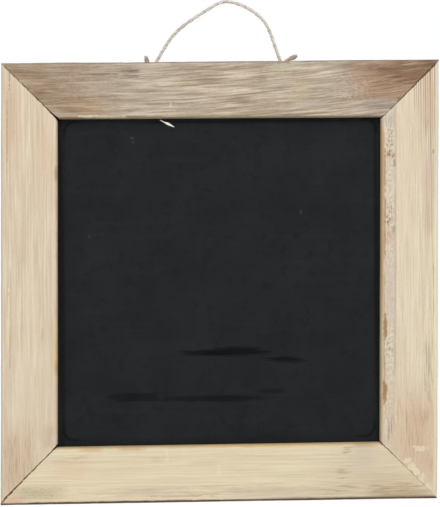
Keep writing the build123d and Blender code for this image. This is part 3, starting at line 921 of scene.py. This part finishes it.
def blackboard_paint():
    """Blackboard paint, brushed on hardboard and wiped: matte charcoal, faintly mottled, with damp smears and
    painted shade beside the frame's lip.
    """
    material, tree = new_finish("blackboard_paint")
    middle = (0, 0, HEIGHT / 2)
    place = add(tree, "ShaderNodeVectorMath", {0: place_mm(tree), 1: middle}, operation="SUBTRACT")
    cloud = add(tree, "ShaderNodeTexNoise", {"Vector": place, "Scale": 1 / PAINT_CLOUD, "Detail": 5.0})
    mottle = add(tree, "ShaderNodeTexNoise", {"Vector": place, "Scale": 1 / PAINT_MOTTLE, "Detail": 5.0})
    past = add(tree, "ShaderNodeAttribute", attribute_name="past_groove").outputs["Fac"]
    groove = add(tree, "ShaderNodeAttribute", attribute_name="groove").outputs["Fac"]
    tone = coated(
        tree,
        colour("#212325"),
        (cloud, 0.3, 0.7, "#26282a", 1.0),
        (streaks(tree, place, *WIPED), 0.5, 0.75, "#2a2c2f", 0.4),
        (mottle, 0.5, 0.75, "#1a1b1e", 0.45),
        (past, 0.6, 2.6, "#1f1a19", 0.35),
        (groove, 0.0, 1.0, "#0c0c0e", 0.6),
    )
    tone = marks_and_lip_shade(tree, place, tone)
    grit = add(tree, "ShaderNodeTexNoise", {"Vector": place, "Scale": 1 / PAINT_GRIT, "Detail": 3.0})
    bump = add(tree, "ShaderNodeBump", {"Strength": 0.15, "Distance": 0.1 * MM, "Height": grit})
    surface(tree, {"Base Color": tone, "Roughness": 0.75, "Specular IOR Level": 0.05, "Normal": bump})
    return material


def marks_and_lip_shade(tree, place, tone):
    """Smears, chalk dots and bands of painted shade beside the frame's lip on the paint: round patches,
    frayed as a brush leaves them.
    """
    brushed = streaks(tree, place, *BRUSHED)
    fray = add(tree, "ShaderNodeMath", {0: brushed, 1: 0.5}, operation="SUBTRACT")
    for x, z, half_x, half_z, code, strength in PAINT_MARKS_AND_LIP_SHADE:
        patch = {"Vector": place, "Location": (x, SEAT, z), "Scale": (half_x, BACK, half_z)}
        apart = add(tree, "ShaderNodeMapping", patch, vector_type="TEXTURE")
        reach = add(tree, "ShaderNodeVectorMath", {0: apart}, operation="LENGTH").outputs["Value"]
        edge = add(tree, "ShaderNodeMath", {0: fray, 1: FRAY, 2: reach}, operation="MULTIPLY_ADD")
        tone = coated(tree, tone, (edge, FRAY_START, FRAY_FULL, code, strength))
    return tone


def bare_hardboard():
    """Bare hardboard, pressed on a wire screen: matte brown, with short fibres and a 1.6 mm screen print."""
    material, tree = new_finish("bare_hardboard")
    place = place_mm(tree)
    # A wave texture of scale 1 repeats every tau / 20
    scale = tau / 20 / SCREEN_PITCH
    print_of = {"Vector": place, "Scale": scale, "Distortion": 0.6, "Detail": 1.0}
    wires = [add(tree, "ShaderNodeTexWave", print_of, bands_direction=axis).outputs[1] for axis in ("X", "Z")]
    screen = add(tree, "ShaderNodeMath", {0: wires[0], 1: wires[1]}, operation="MULTIPLY")
    fibres = add(tree, "ShaderNodeTexNoise", {"Vector": place, "Scale": 1 / BOARD_FIBRE, "Detail": 5.0})
    cloud = add(tree, "ShaderNodeTexNoise", {"Vector": place, "Scale": 1 / BOARD_CLOUD, "Detail": 3.0})
    tone = coated(
        tree,
        colour("#7a5b3d"),
        (cloud, 0.35, 0.65, "#8a6947", 1.0),
        (fibres, 0.5, 0.72, "#5f452d", 0.7),
        (screen, 0.2, 0.9, "#9a7853", 0.55),
    )
    bump = add(tree, "ShaderNodeBump", {"Strength": 0.6, "Distance": 0.3 * MM, "Height": screen})
    surface(tree, {"Base Color": tone, "Roughness": 0.85, "Specular IOR Level": 0.2, "Normal": bump})
    return material


# Twine

# Its route, as distances across the board and above the staples' line
LOOP_ROUTE = [
    (-42.4, 0.0), (-42.5, 3.2), (-41.1, 6.6), (-38.6, 10.8), (-35.1, 16.6), (-30.5, 24.3),
    (-23.3, 31.7), (-13.9, 38.2), (-5.0, 43.7), (1.9, 47.7), (7.5, 48.6), (13.3, 47.2),
    (19.7, 44.5), (26.0, 40.4), (31.3, 35.4), (34.8, 28.6), (37.3, 20.8), (39.6, 13.9),
    (41.6, 8.8), (41.4, 4.2), (41.5, 0.0),
]
LEFT_END_ROUTE = [
    (-42.4, 0.0), (-42.4, -3.0), (-41.8, -5.5), (-42.5, -7.8), (-44.0, -8.9), (-45.8, -8.9),
    (-47.3, -7.9), (-48.0, -5.6), (-47.4, -3.0), (-47.4, 0.0), (-46.6, 3.4), (-45.5, 6.4),
    (-45.2, 8.8), (-45.4, 10.5), (-45.8, 11.9),
]
RIGHT_END_ROUTE = [
    (41.5, 0.0), (41.5, -3.2), (41.0, -5.7), (41.6, -7.9), (43.0, -9.0), (44.8, -9.0),
    (46.2, -8.0), (47.0, -5.8), (46.5, -3.1), (46.4, 0.0), (45.3, 3.2), (43.9, 6.4),
    (44.2, 9.1), (47.2, 10.8), (50.8, 12.2),
]
ROUTE_STEPS = 24

# Two yarns laid together: radius and offset are shares of the diameter, and a cut end opens and swells
LAY_LENGTH = 9.6
YARN_RADIUS = 0.36
YARN_OFFSET = 0.14
YARN_SIDES = 10
TWINE_STEP = 0.3
LUMP_LENGTH = 3.0
TIP_REACH = 7.0
TIP_OPENING = 0.1
TIP_SWELL = 6.0

# Loose fibres on the yarns and at a cut end: how many, how long, the shortest's share, and how far they lean
FUZZ_PER_SQUARE_METRE = 1.1e6
FUZZ_LENGTH = 1.5
FUZZ_SHORTEST = 0.3
FUZZ_LEAN = 1.1
TIP_FIBRES = 420
TIP_LENGTH = 1.3
TIP_SHORTEST = 0.4
TIP_LEAN = 0.35

# Patterns in the jute
JUTE_PATCH = 1.4
JUTE_CLOUD = 14.0


def twine_tree():
    """Lays two yarns round a line, and sets loose fibres on them and at the line's end."""
    sizes = ("Diameter", "Lay Length", "Fuzz Density", "Fuzz Length", "Tip Length", "Tip Opening")
    kinds = {label: "NodeSocketFloat" for label in sizes}
    kinds.update({"Tip Fibres": "NodeSocketInt", "Seed": "NodeSocketInt", "Jute": "NodeSocketMaterial"})
    tree, given, end = new_tree("laid_twine", kinds)
    line = add(tree, "GeometryNodeMeshToCurve", {"Mesh": given["Geometry"]})
    even = add(tree, "GeometryNodeResampleCurve", {"Curve": line, "Length": TWINE_STEP * MM}, mode="LENGTH")
    open_line = opened_end(tree, given, even)
    yarns = [laid_yarn(tree, given, open_line, phase) for phase in (0.0, pi)]
    laid = add(tree, "GeometryNodeJoinGeometry", {0: yarns})
    fuzz = twine_fuzz(tree, given, laid)
    tip = frayed_tip(tree, given, even)
    whole = add(tree, "GeometryNodeJoinGeometry", {0: [laid, fuzz, tip]})
    end_tree(tree, end, whole, given["Jute"])
    return tree


def opened_end(tree, given, line):
    """Marks how far the yarns stand apart at each point: more towards a cut end, which is browner too."""
    whole = add(tree, "GeometryNodeSplineLength")
    length = add(tree, "GeometryNodeSplineParameter").outputs["Length"]
    left = add(tree, "ShaderNodeMath", {0: whole, 1: length}, operation="SUBTRACT")
    levels = {"Value": left, "From Min": TIP_REACH * MM, "From Max": 0.0, "To Max": given["Tip Opening"]}
    near = add(tree, "ShaderNodeMapRange", levels)
    kept = {"Geometry": line, "Name": "opening", "Value": near}
    return add(tree, "GeometryNodeStoreNamedAttribute", kept, data_type="FLOAT")


def laid_yarn(tree, given, line, phase):
    """One yarn: the line moved round itself once in each lay length, thick and thin, as a tube."""
    length = add(tree, "GeometryNodeSplineParameter").outputs["Length"]
    turns = add(tree, "ShaderNodeMath", {0: length, 1: given["Lay Length"]}, operation="DIVIDE")
    angle = add(tree, "ShaderNodeMath", {0: turns, 1: tau, 2: phase}, operation="MULTIPLY_ADD")
    normal = add(tree, "GeometryNodeInputNormal").outputs["Normal"]
    turning = {"Vector": normal, "Axis": add(tree, "GeometryNodeInputTangent"), "Angle": angle}
    around = add(tree, "ShaderNodeVectorRotate", turning, rotation_type="AXIS_ANGLE")
    opening = add(tree, "GeometryNodeInputNamedAttribute", {"Name": "opening"}, data_type="FLOAT")
    apart = add(tree, "ShaderNodeMath", {0: opening, 1: YARN_OFFSET}, operation="ADD")
    offset = add(tree, "ShaderNodeMath", {0: given["Diameter"], 1: apart}, operation="MULTIPLY")
    aside = add(tree, "ShaderNodeVectorMath", {0: around, "Scale": offset}, operation="SCALE")
    moved = add(tree, "GeometryNodeSetPosition", {"Geometry": line, "Offset": aside})
    lumpy = {"W": length, "Scale": 1 / (LUMP_LENGTH * MM), "Detail": 2.0}
    lumps = add(tree, "ShaderNodeTexNoise", lumpy, noise_dimensions="1D")
    thick = add(tree, "ShaderNodeMapRange", {"Value": lumps, "To Min": 0.75, "To Max": 1.25})
    swell = add(tree, "ShaderNodeMath", {0: opening, 1: TIP_SWELL, 2: thick}, operation="MULTIPLY_ADD")
    radius = add(tree, "ShaderNodeMath", {0: given["Diameter"], 1: YARN_RADIUS}, operation="MULTIPLY")
    ring = add(tree, "GeometryNodeCurvePrimitiveCircle", {"Resolution": YARN_SIDES, "Radius": radius})
    tube = {"Curve": moved, "Profile Curve": ring, "Scale": swell, "Fill Caps": True}
    return add(tree, "GeometryNodeCurveToMesh", tube)


def loose_fibres(tree, given, points, aim, turns, shortest, longest):
    """Fibres on points, aimed, turned by angles between two limits, and of lengths up to the longest."""
    low, high = turns
    turning = {0: low, 1: high, "Seed": given["Seed"]}
    turn = add(tree, "FunctionNodeRandomValue", turning, data_type="FLOAT_VECTOR")
    turned = {"Rotation": aim, "Rotate By": turn}
    lean = add(tree, "FunctionNodeRotateRotation", turned, rotation_space="LOCAL")
    share = add(tree, "FunctionNodeRandomValue", {2: shortest, 3: 1.0, "Seed": given["Seed"]}).outputs[1]
    size = add(tree, "ShaderNodeMath", {0: share, 1: longest}, operation="MULTIPLY")
    # One fibre of unit length is a bent three-sided thread, drawn thicker than jute's so that it shows
    bend = {"Resolution": 4, "Start": (0, 0, 0), "Middle": (0.05, 0, 0.6), "End": (0.4, 0, 0.9)}
    line = add(tree, "GeometryNodeCurveQuadraticBezier", bend)
    thread = add(tree, "GeometryNodeCurvePrimitiveCircle", {"Resolution": 3, "Radius": 0.02})
    fibre = add(tree, "GeometryNodeCurveToMesh", {"Curve": line, "Profile Curve": thread})
    placed = {"Points": points, "Instance": fibre, "Rotation": lean, "Scale": size}
    return add(tree, "GeometryNodeInstanceOnPoints", placed)


def twine_fuzz(tree, given, twine):
    """Loose fibres all over the yarns, at any slant."""
    spread = {"Mesh": twine, "Density": given["Fuzz Density"], "Seed": given["Seed"]}
    spots = add(tree, "GeometryNodeDistributePointsOnFaces", spread).outputs
    turns = ((-FUZZ_LEAN, -FUZZ_LEAN, 0.0), (FUZZ_LEAN, FUZZ_LEAN, tau))
    longest = given["Fuzz Length"]
    return loose_fibres(tree, given, spots["Points"], spots["Rotation"], turns, FUZZ_SHORTEST, longest)


def frayed_tip(tree, given, line):
    """A brush of fibres at the cut end of a line."""
    last = add(tree, "GeometryNodeSampleCurve", {"Curves": line, "Factor": 1.0}).outputs
    aim = add(tree, "FunctionNodeAlignRotationToVector", {"Vector": last["Tangent"]})
    room = add(tree, "ShaderNodeMath", {0: given["Diameter"], 1: 0.5}, operation="MULTIPLY")
    less = add(tree, "ShaderNodeMath", {0: room, 1: -1.0}, operation="MULTIPLY")
    spread = {0: less, 1: room, "Seed": given["Seed"]}
    beside = add(tree, "FunctionNodeRandomValue", spread, data_type="FLOAT_VECTOR")
    root = add(tree, "ShaderNodeVectorMath", {0: last["Position"], 1: beside}, operation="ADD")
    points = add(tree, "GeometryNodePoints", {"Count": given["Tip Fibres"], "Position": root})
    turns = ((-TIP_LEAN, -TIP_LEAN, -pi), (TIP_LEAN, TIP_LEAN, pi))
    return loose_fibres(tree, given, points, aim, turns, TIP_SHORTEST, given["Tip Length"])


def jute():
    """Jute yarn, spun and laid: matte beige-grey, streaked by its fibres, with browner lengths."""
    material, tree = new_finish("spun_jute")
    place = place_mm(tree)
    patches = add(tree, "ShaderNodeTexNoise", {"Vector": place, "Scale": 1 / JUTE_PATCH, "Detail": 4.0})
    lengths = add(tree, "ShaderNodeTexNoise", {"Vector": place, "Scale": 1 / JUTE_CLOUD, "Detail": 2.0})
    opening = add(tree, "ShaderNodeAttribute", attribute_name="opening").outputs["Fac"]
    tone = coated(
        tree,
        colour("#c6bcae"),
        (patches, 0.3, 0.65, "#e4ded5", 1.0),
        (lengths, 0.5, 0.7, "#bdb2a0", 0.45),
        (opening, 0.0, TIP_OPENING / 2, "#a69483", 0.7),
    )
    surface(tree, {"Base Color": tone, "Roughness": 0.9, "Specular IOR Level": 0.1})
    return material


def twine(name, route, node, cut, seed):
    """One stretch of twine along its route, with its far end cut or not, standing for its frame node."""
    points = [(x, TWINE_PLANE, STAPLE_LINE + height, 1) for x, height in route]
    line = smooth_line("twine_route", points, ROUTE_STEPS)
    path = [tuple(vertex.co) for vertex in line.vertices]
    values = {
        "Diameter": TWINE_DIAMETER * MM,
        "Lay Length": LAY_LENGTH * MM,
        "Fuzz Density": FUZZ_PER_SQUARE_METRE,
        "Fuzz Length": FUZZ_LENGTH * MM,
        "Tip Fibres": TIP_FIBRES * cut,
        "Tip Length": TIP_LENGTH * MM,
        "Tip Opening": TIP_OPENING * cut,
        "Seed": seed,
        "Jute": JUTE,
    }
    piece = new_piece(name, grown(name, line, TWINE_TREE, values))
    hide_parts(node)
    return piece, path


def hanging_loop():
    """The loop that the board hangs from."""
    piece, path = twine("hanging_twine", LOOP_ROUTE, "twine_loop", cut=False, seed=1)
    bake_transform(piece)


def twine_end(name, route, node, seed):
    """One cut end of the twine, folded under its staple, with a frayed tip above the rail."""
    piece, path = twine(name, route, node, cut=True, seed=seed)
    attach(piece, "board")


# Steel

STEEL_CLOUD = 1.5


def steel(name, tone, roughness):
    """Bare steel, drawn or stamped and zinc plated: dull grey metal with cloudy patches."""
    material, tree = new_finish(name)
    cloudy = {"Vector": place_mm(tree), "Scale": 1 / STEEL_CLOUD, "Detail": 4.0}
    cloud = add(tree, "ShaderNodeTexNoise", cloudy)
    levels = {"Value": cloud, "To Min": roughness - 0.1, "To Max": roughness + 0.15}
    shine = add(tree, "ShaderNodeMapRange", levels)
    dull = coated(tree, colour(tone), (cloud, 0.2, 0.9, "#8b8a86", 1.0))
    surface(tree, {"Base Color": dull, "Metallic": 1.0, "Roughness": shine})
    return material


def dress_steel():
    """Gives the fasteners their metals."""
    nails = steel("stamped_steel", "#b9bbbd", 0.4)
    wire = steel("galvanised_wire", "#c4c6c8", 0.45)
    for name, node in NODES.items():
        if name.startswith(("corner_v_nails", "panel_points")):
            node.material_slots[0].material = nails
        elif name.endswith("staple"):
            node.material_slots[0].material = wire


# Studio

# Camera and floor
EYE = Vector((-33.2, -1109.0, 170.9)) * MM
AIM = Vector((0.0, -9.0, 159.06)) * MM
ROLL = radians(0.661)
LENS = 122.28
FLOOR_SIZE = 2.4

# Light levels, at which a colour renders as it is written, and each soft light's place in metres and power
SURROUND_LIGHT = 0.465
FLOOR_GLOW = 0.45
LIGHT_SIZE = 1.2
LIGHTS = {
    "key": (Vector((0.7, -1.6, 1.3)), 17),
    "fill": (Vector((-1.2, -1.4, 0.8)), 7.7),
}


def aimed(name, data, place, target, roll=0.0):
    """A camera or a lamp at a place, turned to a target and rolled about that line."""
    piece = new_piece(name, data)
    piece.location = place
    piece.rotation_mode = "QUATERNION"
    piece.rotation_quaternion = (target - place).to_track_quat("-Z", "Y") @ Quaternion((0, 0, 1), -roll)
    return piece


def camera():
    """The photograph's viewpoint: a long lens a little left of the middle and above it."""
    lens = bpy.data.cameras.new("camera")
    lens.lens = LENS
    bpy.context.scene.camera = aimed("camera", lens, EYE, AIM, ROLL)


def soft_lights():
    """Square soft lights, aimed at the board's middle."""
    for name, (place, power) in LIGHTS.items():
        lamp = bpy.data.lights.new(name, "AREA")
        lamp.size = LIGHT_SIZE
        lamp.energy = power
        aimed(name, lamp, place, Vector((0, 0, HEIGHT / 2 * MM)))


def shown_rays(tree):
    """One for a ray that shows a surface to the camera, straight, in a reflection or through glass."""
    rays = add(tree, "ShaderNodeLightPath").outputs
    shown = rays["Is Camera Ray"]
    for kind in ("Is Glossy Ray", "Is Transmission Ray"):
        shown = add(tree, "ShaderNodeMath", {0: shown, 1: rays[kind]}, operation="MAXIMUM")
    return shown


def white_surround():
    """Soft light from all round, which looks white to the camera and in reflections."""
    world = bpy.data.worlds.new("white_surround")
    world.use_nodes = True
    tree = world.node_tree
    tree.nodes.clear()
    levels = {"Value": shown_rays(tree), "To Min": SURROUND_LIGHT, "To Max": 1.0}
    level = add(tree, "ShaderNodeMapRange", levels)
    light = add(tree, "ShaderNodeBackground", {"Color": (1, 1, 1, 1), "Strength": level})
    add(tree, "ShaderNodeOutputWorld", {"Surface": light})
    bpy.context.scene.world = world


def floor():
    """A plain pale floor under the board, which looks white where no shadow falls."""
    half = FLOOR_SIZE / 2
    corners = [(-half, -half, 0), (half, -half, 0), (half, half, 0), (-half, half, 0)]
    mesh = bpy.data.meshes.new("floor")
    mesh.from_pydata(corners, [], [(0, 1, 2, 3)])
    material, tree = new_finish("pale_floor")
    glow = add(tree, "ShaderNodeMath", {0: shown_rays(tree), 1: FLOOR_GLOW}, operation="MULTIPLY")
    pale = {"Base Color": colour("#f6f6f4"), "Roughness": 0.9, "Specular IOR Level": 0.0}
    surface(tree, {**pale, "Emission Color": (1, 1, 1, 1), "Emission Strength": glow})
    mesh.materials.append(material)
    new_piece("floor", mesh)


# The board in its studio
bpy.context.scene.view_settings.view_transform = "Standard"
camera()
JUTE = jute()
TWINE_TREE = twine_tree()
hanging_loop()
twine_end("left_twine_end", LEFT_END_ROUTE, "twine_end_left", seed=2)
twine_end("right_twine_end", RIGHT_END_ROUTE, "twine_end_right", seed=3)
MEMBER_TREE = member_tree()
for number, member_name in enumerate(MEMBERS):
    member(member_name, MEMBER_TREE, SEEDS_PER_MEMBER * number)
splinter()
panel()
dress_steel()
white_surround()
soft_lights()
floor()
